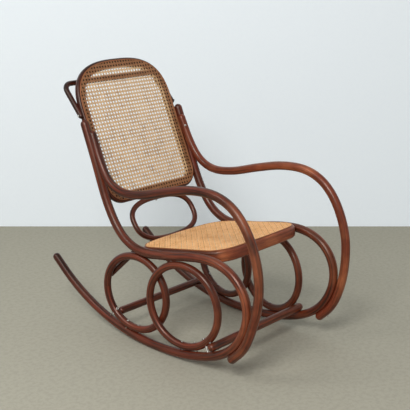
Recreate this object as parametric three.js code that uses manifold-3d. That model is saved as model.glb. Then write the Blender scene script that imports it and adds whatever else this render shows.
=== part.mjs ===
// Bentwood rocking chair with a caned back and seat, in millimetres, +Z up.
// The front of the chair looks along -Y and the runners roll on the plane z = 0.
// Each side is one long bent rod: back post, seat rail, front curve and runner.
import * as THREE from 'three';
import { mergeGeometries, mergeVertices } from 'three/addons/utils/BufferGeometryUtils.js';
import Module from 'manifold-3d';

const wasm = await Module();
wasm.setup();

// Overall sizes
const chair_depth = 1080;
const chair_height = 1010;
const rail_spacing = 490;

// Round rods
const rail_d = 32;
const arm_d = 32;
const front_ring_d = 27.5;
const rear_ring_d = 27.5;
const brace_d = 20;
const front_stretcher_d = 30;
const rear_stretcher_d = 29;
const loop_d = 20;
const hoop_d = 20;

// Clearance between pieces that touch, and the overrun of a cut
const gap = 0.3;
const overrun = 5;

// Side rail from the top of the post to the tail of the runner, as depth and height shares
const rail_share = [
  [0.294, 0.797],
  [0.239, 0.654],
  [0.188, 0.514],
  [0.132, 0.418],
  [0.080, 0.376],
  [0.016, 0.360],
  [-0.094, 0.372],
  [-0.225, 0.400],
  [-0.317, 0.404],
  [-0.389, 0.375],
  [-0.434, 0.318],
  [-0.445, 0.241],
  [-0.410, 0.146],
  [-0.345, 0.084],
  [-0.241, 0.041],
  [-0.106, 0.019],
  [0.029, 0.019],
  [0.158, 0.041],
  [0.278, 0.084],
  [0.392, 0.150],
  [0.491, 0.232],
];
const post_top_index = 0;
const post_foot_index = 3;
const seat_rear_index = 6;
const seat_front_index = 7;
const facet_depth = 0.6;

// Arm from its top on the post to its foot on the front curve: side, depth and height shares
const arm_shift = 10;
const arm_share = [
  [-1.0, 0.267, 0.760],
  [-0.6, 0.226, 0.665],
  [-0.2, 0.185, 0.600],
  [0.0, 0.149, 0.573],
  [0.0, 0.100, 0.560],
  [0.0, 0.014, 0.569],
  [0.0, -0.108, 0.605],
  [0.0, -0.218, 0.631],
  [0.0, -0.314, 0.632],
  [0.0, -0.382, 0.604],
  [0.0, -0.438, 0.541],
  [0.0, -0.482, 0.426],
  [0.0, -0.487, 0.313],
];
const arm_foot_share = [0.510, 0.542, 0.575];
const arm_foot_inlet = 3;
const arm_foot_shift = 5;

// Rings between seat rail and runner, by the depth share of their centres
const front_ring_depth_share = -0.174;
const rear_ring_depth_share = 0.049;

// Brace across each rear ring, its ends as shares of the ring's radius
const brace_share = [
  [1.05, 0.21],
  [0.12, 1.10],
];

// Stretchers
const rear_stretcher_angle = -46;
const rear_stretcher_inlet = 2;

// Seat
const seat_rise = 2;
const seat_drop = 4;
const seat_front_reach_share = 0.1074;
const seat_rear_reach_share = 0.313;
const seat_front_bow = 12;
const seat_rear_bow = 22;
const seat_front_corner = 80;
const seat_rear_corner = 90;
const seat_frame_width = 30;
const seat_frame_height = 42;
const seat_edge_share = [0.1, 0.4];
const bow_exponent = 3;

// Back
const back_height = 553;
const back_rise = 85;
const back_foot_set = 10;
const back_top_set = 5;
const back_arch_share = 0.355;
const back_arch_exponent = 2.8;
const back_arch_end_share = 0.97;
const back_corner = 62;
const back_frame_width = 28;
const back_frame_depth = 24;
const back_inlet = 6;

// Cane work
const cane_thickness = 2;
const spline_width = 4;
const spline_height = 3;
const back_cane_edge = 15;
const seat_cane_edge = 12;
const back_gap_pitch = 41;
const seat_gap_pitch = 43;
const gap_size_share = 0.7;
const net_margin = 7;

// Lumbar loop and head hoop
const loop_half_width = 156;
const loop_exponent = 2.64;
const loop_foot_rise = 14.5;
const loop_head_share = 0.6;
const hoop_inlet = 7;
const hoop_end_rise = 8;
const hoop_bar_share = 0.886;
const hoop_end_depth = 9;
const hoop_bar_depth = 57;
const hoop_bend = 36;

// Screws
const screw = { shank_d: 4, head_d: 9, head_h: 3 };
const bolt = { shank_d: 6.5, head_d: 12, head_h: 4 };
const screw_bite = 13;
const head_top_share = 0.67;
const ring_screw_angle = 11;
const front_bolt_angle = -30;
const rear_bolt_angle = 42;
const arm_top_screw_share = 0.035;
const arm_foot_screw_share = 0.965;
const seat_screw_share = [0.02, 0.4];
const back_screw_share = [0.277, 0.86];
const back_screw_depth = 7;
const hoop_screw_rise = 14;

// Facets
const rod_sides = 8;
const rail_steps = 48;
const arm_steps = 34;
const ring_steps = 28;
const hoop_steps = 22;
const loop_steps = 32;
const corner_steps = 5;
const arch_steps = 15;
const screw_sides = 6;

// Closest two corners of a mesh, and halvings in a search
const weld = 1e-4;
const halvings = 50;

const rail_x = rail_spacing / 2;
const rail_r = rail_d / 2;
const hand = { right: -1, left: 1 };
const across = new THREE.Vector3(1, 0, 0);
const upward = new THREE.Vector3(0, 0, 1);
const rod_axis = new THREE.Vector3(0, 1, 0);

// Solids

// A closed geometry as a solid that can be joined and cut
function solidOf(geometry) {
  const bare = geometry.clone();
  bare.deleteAttribute('normal');
  bare.deleteAttribute('uv');
  const merged = mergeVertices(bare, weld);
  return new wasm.Manifold(new wasm.Mesh({
    numProp: 3,
    vertProperties: new Float32Array(merged.attributes.position.array),
    triVerts: new Uint32Array(merged.index.array),
  }));
}

function geometryOf(solid) {
  const mesh = solid.getMesh();
  const geometry = new THREE.BufferGeometry();
  geometry.setAttribute('position', new THREE.BufferAttribute(mesh.vertProperties, 3));
  geometry.setIndex(new THREE.BufferAttribute(mesh.triVerts, 1));
  return geometry;
}

// Section of a rod whose flats touch the true circle
function rodSection(diameter) {
  const corner = diameter / 2 / Math.cos(Math.PI / rod_sides);
  const points = [];
  for (let i = 0; i < rod_sides; i += 1) {
    const angle = (i + 0.5) * 2 * Math.PI / rod_sides;
    points.push(new THREE.Vector2(corner * Math.cos(angle), corner * Math.sin(angle)));
  }
  return new THREE.Shape(points);
}

function bentRod(path, diameter, steps) {
  const options = { steps, extrudePath: path, bevelEnabled: false };
  return solidOf(new THREE.ExtrudeGeometry(rodSection(diameter), options));
}

function straightRod(start, end, diameter, sides) {
  const along = end.clone().sub(start);
  const rod = new THREE.CylinderGeometry(diameter / 2, diameter / 2, along.length(), sides);
  const turn = new THREE.Quaternion().setFromUnitVectors(rod_axis, along.clone().normalize());
  rod.applyQuaternion(turn);
  rod.translate(...start.clone().add(end).multiplyScalar(0.5).toArray());
  return solidOf(rod);
}

// Paths and places

function railPlace(index) {
  const [depth, height] = rail_share[index];
  return new THREE.Vector3(0, depth * chair_depth, height * chair_height);
}

function railPath(side) {
  const points = rail_share.map((share, index) => railPlace(index).setX(side * rail_x));
  return new THREE.CatmullRomCurve3(points, false, 'centripetal');
}

const rail_line = railPath(0).getSpacedPoints(rail_steps);
const front_index = rail_line.reduce((best, point, i) => (point.y < rail_line[best].y ? i : best), 0);
const upper_line = rail_line.slice(0, front_index + 1);
const lower_line = rail_line.slice(front_index);

// Nearest point of a line of points in a side plane
function nearestOn(line, place) {
  let best = null;
  for (let i = 0; i + 1 < line.length; i += 1) {
    const span = new THREE.Line3(line[i], line[i + 1]);
    const point = span.closestPointToPoint(place, true, new THREE.Vector3());
    if (best === null || point.distanceTo(place) < best.distanceTo(place)) {
      best = point;
    }
  }
  return best;
}

// Value between low and high where a rising function crosses zero
function solve(low, high, rising) {
  let [from, to] = [low, high];
  for (let i = 0; i < halvings; i += 1) {
    const middle = (from + to) / 2;
    if (rising(middle) < 0) {
      from = middle;
    } else {
      to = middle;
    }
  }
  return (from + to) / 2;
}

// Floor under the runner, which is worn flat where it stands
const lowest = rail_line.reduce((low, point) => (point.z < low.z ? point : low));
const floor_z = lowest.z - rail_r + facet_depth;

// Arm path, whose foot lies along the front of the rail
function armPath(side) {
  const points = arm_share.map(([shift, depth, height]) => new THREE.Vector3(
    side * (rail_x + shift * arm_shift), depth * chair_depth, height * chair_height));
  const rail = railPath(side);
  const reach = rail_r + arm_d / 2 - arm_foot_inlet;
  for (const share of arm_foot_share) {
    const along = rail.getTangentAt(share);
    const outward = new THREE.Vector3(0, along.z, -along.y).normalize();
    if (outward.y > 0) {
      outward.negate();
    }
    points.push(rail.getPointAt(share).addScaledVector(outward, reach)
      .addScaledVector(across, side * arm_foot_shift));
  }
  return new THREE.CatmullRomCurve3(points, false, 'centripetal');
}

// A ring seated between seat rail and runner: its centre height and its radius
function seatRing(depth_share, diameter) {
  const centre = new THREE.Vector3(0, depth_share * chair_depth, 0);
  const low = nearestOn(lower_line, centre).z;
  const high = chair_height * rail_share[seat_front_index][1];
  const clear = (line, z) => nearestOn(line, centre.setZ(z)).distanceTo(centre);
  centre.z = solve(low, high, (z) => clear(lower_line, z) - clear(upper_line, z));
  const contact = nearestOn(lower_line, centre);
  const room = contact.distanceTo(centre);
  return {
    centre,
    diameter,
    radius: room - rail_r - gap - diameter / 2,
    foot: Math.atan2(contact.z - centre.z, contact.y - centre.y),
  };
}

const front_ring = seatRing(front_ring_depth_share, front_ring_d);
const rear_ring = seatRing(rear_ring_depth_share, rear_ring_d);
const ring_reach = rear_ring.centre.y - front_ring.centre.y;
const ring_turn = Math.asin((front_ring_d / 2 + rear_ring_d / 2 + gap) / ring_reach);

// The rings are turned about the vertical, so that their lapping parts pass side by side
function ringAxes(side) {
  const back = new THREE.Vector3(side * Math.sin(ring_turn), Math.cos(ring_turn), 0);
  return { back, out: back.clone().cross(upward).multiplyScalar(side) };
}

function ringCentre(ring, side) {
  return ring.centre.clone().setX(side * rail_x);
}

function ringDirection(side, angle) {
  return ringAxes(side).back.multiplyScalar(Math.cos(angle)).addScaledVector(upward, Math.sin(angle));
}

function ringSolid(ring, side, grow) {
  const torus = new THREE.TorusGeometry(ring.radius, ring.diameter / 2 + grow, rod_sides, ring_steps);
  const { back } = ringAxes(side);
  torus.rotateZ(ring.foot);
  torus.applyMatrix4(new THREE.Matrix4().makeBasis(back, upward, back.clone().cross(upward)));
  torus.translate(...ringCentre(ring, side).toArray());
  return solidOf(torus);
}

// The seat lies in a plane between the rails
const seat_origin = railPlace(seat_front_index).addScaledVector(upward, -seat_drop);
const seat_rear = railPlace(seat_rear_index).addScaledVector(upward, seat_rise - seat_drop);
const seat_back = seat_rear.sub(seat_origin).normalize();
const seat_up = across.clone().cross(seat_back);
const seat_half = rail_x - rail_r - gap;
const seat_front_reach = seat_front_reach_share * chair_depth;
const seat_rear_reach = seat_rear_reach_share * chair_depth;

function seatMatrix(rise) {
  const place = seat_origin.clone().addScaledVector(seat_up, rise);
  return new THREE.Matrix4().makeBasis(across, seat_back, seat_up).setPosition(place);
}

// The back's front face passes a little behind the post's centre at its top and at its foot
const back_foot = railPlace(post_foot_index).add(new THREE.Vector3(0, back_foot_set, 0));
const back_top = railPlace(post_top_index).add(new THREE.Vector3(0, back_top_set, 0));
const back_up = back_top.clone().sub(back_foot).normalize();
const back_front = across.clone().cross(back_up);
const back_rear = back_front.clone().negate();
const back_origin = back_foot.clone().addScaledVector(back_up, back_rise);
const back_half = rail_x - rail_r + back_inlet;
const back_arch_foot = back_height * (1 - back_arch_share);
const post_reach = back_foot.distanceTo(back_top) - back_rise;

function backMatrix(depth) {
  const place = back_origin.clone().addScaledVector(back_rear, depth);
  return new THREE.Matrix4().makeBasis(across, back_up, back_front.clone()).setPosition(place);
}

function backPoint(x, height, depth) {
  return back_origin.clone().addScaledVector(back_up, height).addScaledVector(back_rear, depth)
    .addScaledVector(across, x);
}

// Outlines

// Right half of a corner as a superellipse about a centre, from one axis to the other
function corner(cx, cy, a, b, exponent, [from, to], steps) {
  const points = [];
  for (let i = 0; i <= steps; i += 1) {
    const angle = from + (to - from) * i / steps;
    const [c, s] = [Math.cos(angle), Math.sin(angle)];
    const x = cx + a * Math.sign(c) * Math.abs(c) ** (2 / exponent);
    const y = cy + b * Math.sign(s) * Math.abs(s) ** (2 / exponent);
    points.push(new THREE.Vector2(x, y));
  }
  return points;
}

// Whole outline from its right half, which starts and ends near the middle line
function mirrored(half) {
  return half.concat(half.slice().reverse().map((point) => new THREE.Vector2(-point.x, point.y)));
}

function seatOutline(inset) {
  const quarter = Math.PI / 2;
  const half = seat_half - inset;
  const fore = Math.max(seat_front_corner - inset, gap);
  const aft = Math.max(seat_rear_corner - inset, gap);
  const front = -seat_front_reach + inset;
  const rear = seat_rear_reach - inset;
  const bow = (x, depth) => depth * (x / half) ** 2;
  const points = [
    ...seat_edge_share.map((share) => new THREE.Vector2(share * half, front)),
    ...corner(half - fore, front + fore, fore, fore, 2, [-quarter, 0], corner_steps),
    ...corner(half - aft, rear - aft, aft, aft, 2, [0, quarter], corner_steps),
    ...seat_edge_share.toReversed().map((share) => new THREE.Vector2(share * half, rear)),
  ];
  const middle = (front + rear) / 2;
  const ends = (rear - front) / 2;
  return mirrored(points.map((point) => {
    const share = (point.y - middle) / ends;
    const depth = share < 0 ? seat_front_bow : seat_rear_bow;
    return point.setY(point.y - Math.sign(share) * bow(point.x, depth) * Math.abs(share) ** bow_exponent);
  }));
}

function backOutline(inset) {
  const quarter = Math.PI / 2;
  const half = back_half - inset;
  const round = Math.max(back_corner - inset, gap);
  const arch = back_height - back_arch_foot - inset;
  const arch_turn = [0, quarter * back_arch_end_share];
  return mirrored([
    ...corner(half - round, inset + round, round, round, 2, [-quarter, 0], corner_steps),
    ...corner(0, back_arch_foot, half, arch, back_arch_exponent, arch_turn, arch_steps),
  ]);
}

function plate(outline, hole, thickness, matrix) {
  const shape = new THREE.Shape(outline);
  if (hole) {
    shape.holes.push(new THREE.Path(hole));
  }
  const slab = new THREE.ExtrudeGeometry(shape, { depth: thickness, bevelEnabled: false, steps: 1 });
  return solidOf(slab.applyMatrix4(matrix));
}

// Woven cane as a flat net with its gaps in a square pattern inside the frame's opening
function caneNet(outline, opening, pitch, matrix) {
  const box = new THREE.Box2().setFromPoints(opening);
  const size = pitch * gap_size_share;
  const columns = Math.floor((box.max.x - box.min.x) / pitch / 2);
  const rows = Math.floor((box.max.y - box.min.y) / pitch / 2);
  const centre = box.getCenter(new THREE.Vector2());
  const corners = [[-1, -1], [-1, 1], [1, -1], [1, 1]];
  const reach = size / 2 + net_margin;
  const holes = [];
  for (let row = -rows; row <= rows; row += 1) {
    for (let column = -columns; column <= columns; column += 1) {
      const x = centre.x + column * pitch;
      const y = centre.y + row * pitch;
      if (corners.every(([a, b]) => contains(opening, x + a * reach, y + b * reach))) {
        holes.push(new THREE.BoxGeometry(size, size, 2 * (cane_thickness + overrun)).translate(x, y, 0));
      }
    }
  }
  const gaps = solidOf(mergeGeometries(holes).applyMatrix4(matrix));
  return plate(outline, null, cane_thickness, matrix).subtract(gaps);
}

function contains(points, x, y) {
  let inside = false;
  for (let i = 0; i < points.length; i += 1) {
    const a = points[i];
    const b = points[(i + points.length - 1) % points.length];
    if ((a.y > y) !== (b.y > y) && x < a.x + (y - a.y) * (b.x - a.x) / (b.y - a.y)) {
      inside = !inside;
    }
  }
  return inside;
}

// Space of the seat frame, which the braces are coped round
function seatSpace() {
  const half = seat_frame_height / 2 + gap;
  return plate(seatOutline(-gap), null, 2 * half, seatMatrix(-half));
}

// Space of the back with its cane work, which arms and hoop are coped round
function backSpace() {
  const thickness = back_frame_depth + spline_height + 3 * gap;
  return plate(backOutline(-gap), null, thickness, backMatrix(back_frame_depth + gap));
}

// Pieces by name, each with its solid, its material and the place of its mesh
const pieces = new Map();

function addPiece(name, solid, slot, place) {
  pieces.set(name, { solid, slot, place });
}

function cut(name, tool) {
  const piece = pieces.get(name);
  piece.solid = piece.solid.subtract(tool);
}

// A screw or bolt whose head stands on the wood, with a clearance hole in each piece it holds
function addScrew(name, kind, head, into, length, holds) {
  const profile = [
    [0, -length],
    [kind.shank_d / 2, -length],
    [kind.shank_d / 2, 0],
    [kind.head_d / 2, 0],
    [head_top_share * kind.head_d / 2, kind.head_h],
    [0, kind.head_h],
  ].map(([x, y]) => new THREE.Vector2(x, y));
  const turn = new THREE.Quaternion().setFromUnitVectors(rod_axis, into.clone().negate());
  const body = new THREE.LatheGeometry(profile, screw_sides).applyQuaternion(turn);
  body.translate(...head.toArray());
  const wide = kind.shank_d / 2 + gap / Math.cos(Math.PI / screw_sides);
  const drill = new THREE.CylinderGeometry(wide, wide, length + gap + overrun, screw_sides);
  drill.translate(0, (overrun - length - gap) / 2, 0);
  drill.applyQuaternion(turn);
  drill.translate(...head.toArray());
  const hole = solidOf(drill);
  holds.forEach((held) => cut(held, hole));
  addPiece(name, solidOf(body), 'steel', head);
}

const corner_reach = 1 / Math.cos(Math.PI / rod_sides);

// Side rails, with the runner's worn facet
function addRails() {
  const floor = new THREE.BoxGeometry(chair_depth, 2 * chair_depth, rail_d);
  floor.translate(0, 0, floor_z - rail_r);
  for (const [hand_name, side] of Object.entries(hand)) {
    const rail = bentRod(railPath(side), rail_d, rail_steps).subtract(solidOf(floor));
    addPiece(`side_rail_${hand_name}`, rail, 'beech', seat_origin.clone().setX(side * rail_x));
  }
}

// Arms, coped where they lie against post and front curve
function addArms() {
  for (const [hand_name, side] of Object.entries(hand)) {
    const rail = bentRod(railPath(side), rail_d + 2 * gap, rail_steps);
    const arm = bentRod(armPath(side), arm_d, arm_steps).subtract(rail).subtract(backSpace());
    addPiece(`arm_${hand_name}`, arm, 'beech', armPath(side).getPointAt(0));
  }
}

function addRings() {
  for (const [hand_name, side] of Object.entries(hand)) {
    for (const [name, ring] of Object.entries({ front: front_ring, rear: rear_ring })) {
      addPiece(`${name}_ring_${hand_name}`, ringSolid(ring, side, 0), 'beech', ringCentre(ring, side));
    }
  }
}

// Straight brace on the inboard side of each rear ring, up to the seat rail
function bracePoint(side, [back_part, up_part], inward) {
  const { back, out } = ringAxes(side);
  return ringCentre(rear_ring, side).addScaledVector(back, back_part * rear_ring.radius)
    .addScaledVector(upward, up_part * rear_ring.radius).addScaledVector(out, -inward);
}

function addBraces() {
  const inward = (rear_ring_d + brace_d) / 2 + gap;
  for (const [hand_name, side] of Object.entries(hand)) {
    const rail = bentRod(railPath(side), rail_d + 2 * gap, rail_steps);
    const [low, high] = brace_share.map((share) => bracePoint(side, share, inward));
    const brace = straightRod(low, high, brace_d, rod_sides).subtract(rail).subtract(seatSpace());
    addPiece(`ring_brace_${hand_name}`, brace, 'beech', low);
  }
}

// Front stretcher, in the wedge between the front rings and the runners
const front_stretcher_place = (() => {
  const ring_clear = front_ring.radius + (front_ring_d + front_stretcher_d) / 2 + gap;
  const rail_clear = rail_r + front_stretcher_d / 2 + gap;
  const at = (angle) => {
    const turn = front_ring.foot - angle;
    const ray = new THREE.Vector3(0, Math.cos(turn), Math.sin(turn));
    return front_ring.centre.clone().addScaledVector(ray, ring_clear);
  };
  const free = (angle) => {
    const place = at(angle);
    return nearestOn(lower_line, place).distanceTo(place) - rail_clear;
  };
  return at(solve(0, Math.PI / 2, free));
})();

function addFrontStretcher() {
  const half = rail_x + rail_r;
  const ends = [-half, half].map((x) => front_stretcher_place.clone().setX(x));
  const stretcher = straightRod(...ends, front_stretcher_d, 2 * screw_sides);
  addPiece('front_stretcher', stretcher, 'beech', front_stretcher_place);
}

// Rear stretcher, butted against the inboard sides of the rear rings
const rear_stretcher_turn = rear_stretcher_angle * Math.PI / 180;

function rearStretcherEnd(side, outward) {
  const { out } = ringAxes(side);
  return ringCentre(rear_ring, side)
    .addScaledVector(ringDirection(side, rear_stretcher_turn), rear_ring.radius)
    .addScaledVector(out, outward);
}

function addRearStretcher() {
  const inward = rear_ring_d / 2 - rear_stretcher_inlet;
  const ends = [-1, 1].map((side) => rearStretcherEnd(side, -inward));
  let stretcher = straightRod(...ends, rear_stretcher_d, 2 * screw_sides);
  for (const side of [-1, 1]) {
    stretcher = stretcher.subtract(ringSolid(rear_ring, side, gap));
  }
  addPiece('rear_stretcher', stretcher, 'beech', ends[0].clone().lerp(ends[1], 0.5));
}

function addSeat() {
  const half = seat_frame_height / 2;
  const opening = seatOutline(seat_frame_width);
  const cane_line = seatOutline(seat_cane_edge + spline_width);
  const frame = plate(seatOutline(0), opening, seat_frame_height, seatMatrix(-half));
  addPiece('seat_frame', frame, 'beech', seat_origin);
  const cane = caneNet(cane_line, opening, seat_gap_pitch, seatMatrix(half + gap));
  addPiece('seat_cane', cane, 'cane', seat_origin.clone().addScaledVector(seat_up, half));
  const spline = plate(
    seatOutline(seat_cane_edge), seatOutline(seat_cane_edge + spline_width - gap), spline_height,
    seatMatrix(half + gap));
  addPiece('seat_spline', spline, 'edge_cane', seat_origin.clone().addScaledVector(seat_up, half));
}

function addBack() {
  const opening = backOutline(back_frame_width);
  const cane_line = backOutline(back_cane_edge + spline_width);
  let frame = plate(backOutline(0), opening, back_frame_depth, backMatrix(back_frame_depth));
  for (const side of [-1, 1]) {
    frame = frame.subtract(bentRod(railPath(side), rail_d + 2 * gap, rail_steps));
  }
  addPiece('back_frame', frame, 'beech', back_origin);
  const cane = caneNet(cane_line, opening, back_gap_pitch, backMatrix(-gap));
  addPiece('back_cane', cane, 'cane', back_origin);
  const spline = plate(
    backOutline(back_cane_edge), backOutline(back_cane_edge + spline_width - gap), spline_height,
    backMatrix(-gap));
  addPiece('back_spline', spline, 'edge_cane', back_origin);
}

// Head hoop: two legs on the frame's sides above the posts, bent round to a bar behind the top of the back
const hoop_half = back_half + hoop_d / 2 - hoop_inlet;
const hoop_end_height = post_reach + hoop_end_rise;
const hoop_bar_height = hoop_bar_share * back_height;

function hoopPath() {
  const rise = hoop_bar_height - hoop_end_height;
  const slope = new THREE.Vector2(rise, hoop_bar_depth - hoop_end_depth).normalize();
  const path = new THREE.CurvePath();
  const place = (side, back_off) => backPoint(
    side * hoop_half, hoop_bar_height - slope.x * back_off, hoop_bar_depth - slope.y * back_off);
  const bar_end = (side) => backPoint(side * (hoop_half - hoop_bend), hoop_bar_height, hoop_bar_depth);
  const end = (side) => backPoint(side * hoop_half, hoop_end_height, hoop_end_depth);
  path.add(new THREE.LineCurve3(end(-1), place(-1, hoop_bend)));
  path.add(new THREE.QuadraticBezierCurve3(place(-1, hoop_bend), place(-1, 0), bar_end(-1)));
  path.add(new THREE.LineCurve3(bar_end(-1), bar_end(1)));
  path.add(new THREE.QuadraticBezierCurve3(bar_end(1), place(1, 0), place(1, hoop_bend)));
  path.add(new THREE.LineCurve3(place(1, hoop_bend), end(1)));
  return path;
}

function addHoop() {
  const hoop = bentRod(hoopPath(), hoop_d, hoop_steps).subtract(backSpace());
  addPiece('head_hoop', hoop, 'beech', backPoint(0, hoop_bar_height, hoop_bar_depth));
}

// Lumbar loop, from the rear face of the seat frame to the lower edge of the back frame
const loop_foot = seat_origin.clone().addScaledVector(seat_back, seat_rear_reach + loop_d / 2 + gap)
  .addScaledVector(seat_up, loop_foot_rise);
const loop_head = backPoint(0, -loop_d / 2 - gap, loop_head_share * back_frame_depth);

class LoopCurve extends THREE.Curve {
  getPoint(t, target = new THREE.Vector3()) {
    const angle = 2 * Math.PI * t;
    const [c, s] = [Math.cos(angle), Math.sin(angle)];
    const wide = loop_half_width * Math.sign(c) * Math.abs(c) ** (2 / loop_exponent);
    const high = Math.sign(s) * Math.abs(s) ** (2 / loop_exponent);
    return target.copy(loop_foot).lerp(loop_head, (1 + high) / 2).addScaledVector(across, wide);
  }
}

function addLoop() {
  const tube = new THREE.TubeGeometry(new LoopCurve(), loop_steps, loop_d / 2, rod_sides, true);
  addPiece('lumbar_loop', solidOf(tube), 'beech', loop_foot.clone().lerp(loop_head, 0.5));
}

// Two screws and a bolt hold each ring to its runner
function addRingScrews() {
  const rings = [
    ['front', front_ring, front_bolt_angle],
    ['rear', rear_ring, rear_bolt_angle],
  ];
  for (const [hand_name, side] of Object.entries(hand)) {
    for (const [ring_name, ring, bolt_angle] of rings) {
      const centre = ringCentre(ring, side);
      const inner = (ring.radius - ring.diameter / 2) * Math.cos(Math.PI / ring_steps) - gap;
      const holds = [`${ring_name}_ring_${hand_name}`, `side_rail_${hand_name}`];
      for (const [index, way] of [-1, 1].entries()) {
        const ray = ringDirection(side, ring.foot + way * ring_screw_angle * Math.PI / 180);
        const head = centre.clone().addScaledVector(ray, inner);
        const length = ring.diameter + screw_bite;
        addScrew(`ring_screw_${ring_name}_${hand_name}_${index + 1}`, screw, head, ray, length, holds);
      }
      const angle = ring.foot + bolt_angle * Math.PI / 180;
      const rod_centre = centre.clone().addScaledVector(ringDirection(side, angle), ring.radius);
      const flat_ray = new THREE.Vector3(0, Math.cos(angle), Math.sin(angle));
      const far = solve(0, ring.radius, (reach) => {
        const point = rod_centre.clone().setX(0).addScaledVector(flat_ray, reach);
        return point.clone().sub(nearestOn(lower_line, point)).dot(flat_ray);
      });
      const target = rod_centre.clone().setX(0).addScaledVector(flat_ray, far).setX(side * rail_x);
      const into = target.clone().sub(rod_centre).normalize();
      const head = rod_centre.clone().addScaledVector(into, -corner_reach * ring.diameter / 2 - gap);
      addScrew(`wedge_bolt_${ring_name}_${hand_name}`, bolt, head, into, target.distanceTo(head), holds);
    }
  }
}

// A screw from one rod into another that lies beside it
function addRodScrew(name, from, to, diameter, holds) {
  const into = to.clone().sub(from).normalize();
  const stand = corner_reach * diameter / 2 + gap;
  const head = from.clone().addScaledVector(into, -stand);
  addScrew(name, screw, head, into, from.distanceTo(to) + stand, holds);
}

function addArmScrews() {
  const places = [['top', arm_top_screw_share], ['foot', arm_foot_screw_share]];
  for (const [hand_name, side] of Object.entries(hand)) {
    const rail = railPath(side).getSpacedPoints(rail_steps);
    for (const [place_name, share] of places) {
      const from = armPath(side).getPointAt(share);
      const to = nearestOn(rail, from);
      const holds = [`arm_${hand_name}`, `side_rail_${hand_name}`];
      addRodScrew(`arm_${place_name}_screw_${hand_name}`, from, to, arm_d, holds);
    }
  }
}

// Screws from inside the seat frame and the back frame into the rods beside them
function addFrameScrews() {
  for (const [hand_name, side] of Object.entries(hand)) {
    const into = across.clone().multiplyScalar(side);
    const rail_name = `side_rail_${hand_name}`;
    for (const [index, place_name] of ['front', 'rear'].entries()) {
      const reach = seat_screw_share[index] * seat_rear_reach;
      const place = seat_origin.clone().addScaledVector(seat_back, reach);
      const head = nearestOn(upper_line, place).setX(side * (seat_half - seat_frame_width - gap));
      const length = seat_frame_width + 2 * gap + screw_bite;
      const name = `seat_screw_${place_name}_${hand_name}`;
      addScrew(name, screw, head, into, length, ['seat_frame', rail_name]);
    }
    for (const [index, place_name] of ['lower', 'upper'].entries()) {
      const x = side * (back_half - back_frame_width - gap);
      const head = backPoint(x, back_screw_share[index] * post_reach, back_screw_depth);
      const length = back_frame_width + 2 * gap + screw_bite;
      const name = `back_screw_${place_name}_${hand_name}`;
      addScrew(name, screw, head, into, length, ['back_frame', rail_name]);
    }
  }
}

function addHoopScrews() {
  for (const [hand_name, side] of Object.entries(hand)) {
    const share = hoop_screw_rise / (hoop_bar_height - hoop_end_height);
    const depth = hoop_end_depth + share * (hoop_bar_depth - hoop_end_depth);
    const from = backPoint(side * hoop_half, hoop_end_height + hoop_screw_rise, depth);
    const to = from.clone().addScaledVector(across, -side * (hoop_d / 2 + screw_bite));
    addRodScrew(`hoop_screw_${hand_name}`, from, to, hoop_d, ['head_hoop', 'back_frame']);
  }
}

function addLoopScrews() {
  const bite = loop_d / 2 + screw_bite;
  const into_back = loop_head.clone().addScaledVector(back_up, bite);
  addRodScrew('loop_screw_top', loop_head, into_back, loop_d, ['lumbar_loop', 'back_frame']);
  const into_seat = loop_foot.clone().addScaledVector(seat_back, -bite);
  addRodScrew('loop_screw_bottom', loop_foot, into_seat, loop_d, ['lumbar_loop', 'seat_frame']);
}

function addStretcherScrews() {
  for (const [hand_name, side] of Object.entries(hand)) {
    const from = front_stretcher_place.clone();
    const to = nearestOn(lower_line, from).setX(side * rail_x);
    const front_holds = ['front_stretcher', `side_rail_${hand_name}`];
    const front_name = `front_stretcher_screw_${hand_name}`;
    addRodScrew(front_name, from.setX(side * rail_x), to, front_stretcher_d, front_holds);
    const ring_place = rearStretcherEnd(side, 0);
    const inside = ring_place.clone().addScaledVector(across, -side * (rear_ring_d / 2 + screw_bite));
    const rear_holds = ['rear_stretcher', `rear_ring_${hand_name}`];
    addRodScrew(`rear_stretcher_screw_${hand_name}`, ring_place, inside, rear_ring_d, rear_holds);
  }
}

// Each brace is screwed to its ring where it crosses it
function addBraceScrews() {
  const [low, high] = brace_share.map(([back_part, up_part]) => new THREE.Vector2(back_part, up_part));
  const along = high.clone().sub(low).normalize();
  const near = low.clone().addScaledVector(along, -low.dot(along));
  const half = Math.sqrt(1 - near.lengthSq());
  const crossings = {
    lower: near.clone().addScaledVector(along, -half),
    upper: near.clone().addScaledVector(along, half),
  };
  const inward = (rear_ring_d + brace_d) / 2 + gap;
  for (const [hand_name, side] of Object.entries(hand)) {
    for (const [place_name, place] of Object.entries(crossings)) {
      const from = bracePoint(side, place.toArray(), inward);
      const to = bracePoint(side, place.toArray(), 0);
      const holds = [`ring_brace_${hand_name}`, `rear_ring_${hand_name}`];
      addRodScrew(`brace_screw_${place_name}_${hand_name}`, from, to, brace_d, holds);
    }
  }
}

addRails();
addArms();
addRings();
addBraces();
addFrontStretcher();
addRearStretcher();
addSeat();
addBack();
addHoop();
addLoop();
addRingScrews();
addArmScrews();
addFrameScrews();
addHoopScrews();
addLoopScrews();
addStretcherScrews();
addBraceScrews();

const looks = {
  beech: { color: 0x4b1d12, roughness: 0.35, metalness: 0 },
  cane: { color: 0xc9a77c, roughness: 0.7, metalness: 0 },
  edge_cane: { color: 0xb08050, roughness: 0.6, metalness: 0 },
  steel: { color: 0x9a9a98, roughness: 0.4, metalness: 1 },
};

// The whole chair stands on z = 0, with its origin below the middle of its bounds
const body = new THREE.Group();
for (const [name, { solid, slot, place }] of pieces) {
  const geometry = geometryOf(solid).translate(...place.clone().negate().toArray());
  const mesh = new THREE.Mesh(geometry, new THREE.MeshStandardMaterial(looks[slot]));
  mesh.name = name;
  mesh.position.copy(place);
  body.add(mesh);
}
const bounds = new THREE.Box3().setFromObject(body);
body.position.set(0, -bounds.getCenter(new THREE.Vector3()).y, -floor_z);

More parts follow.
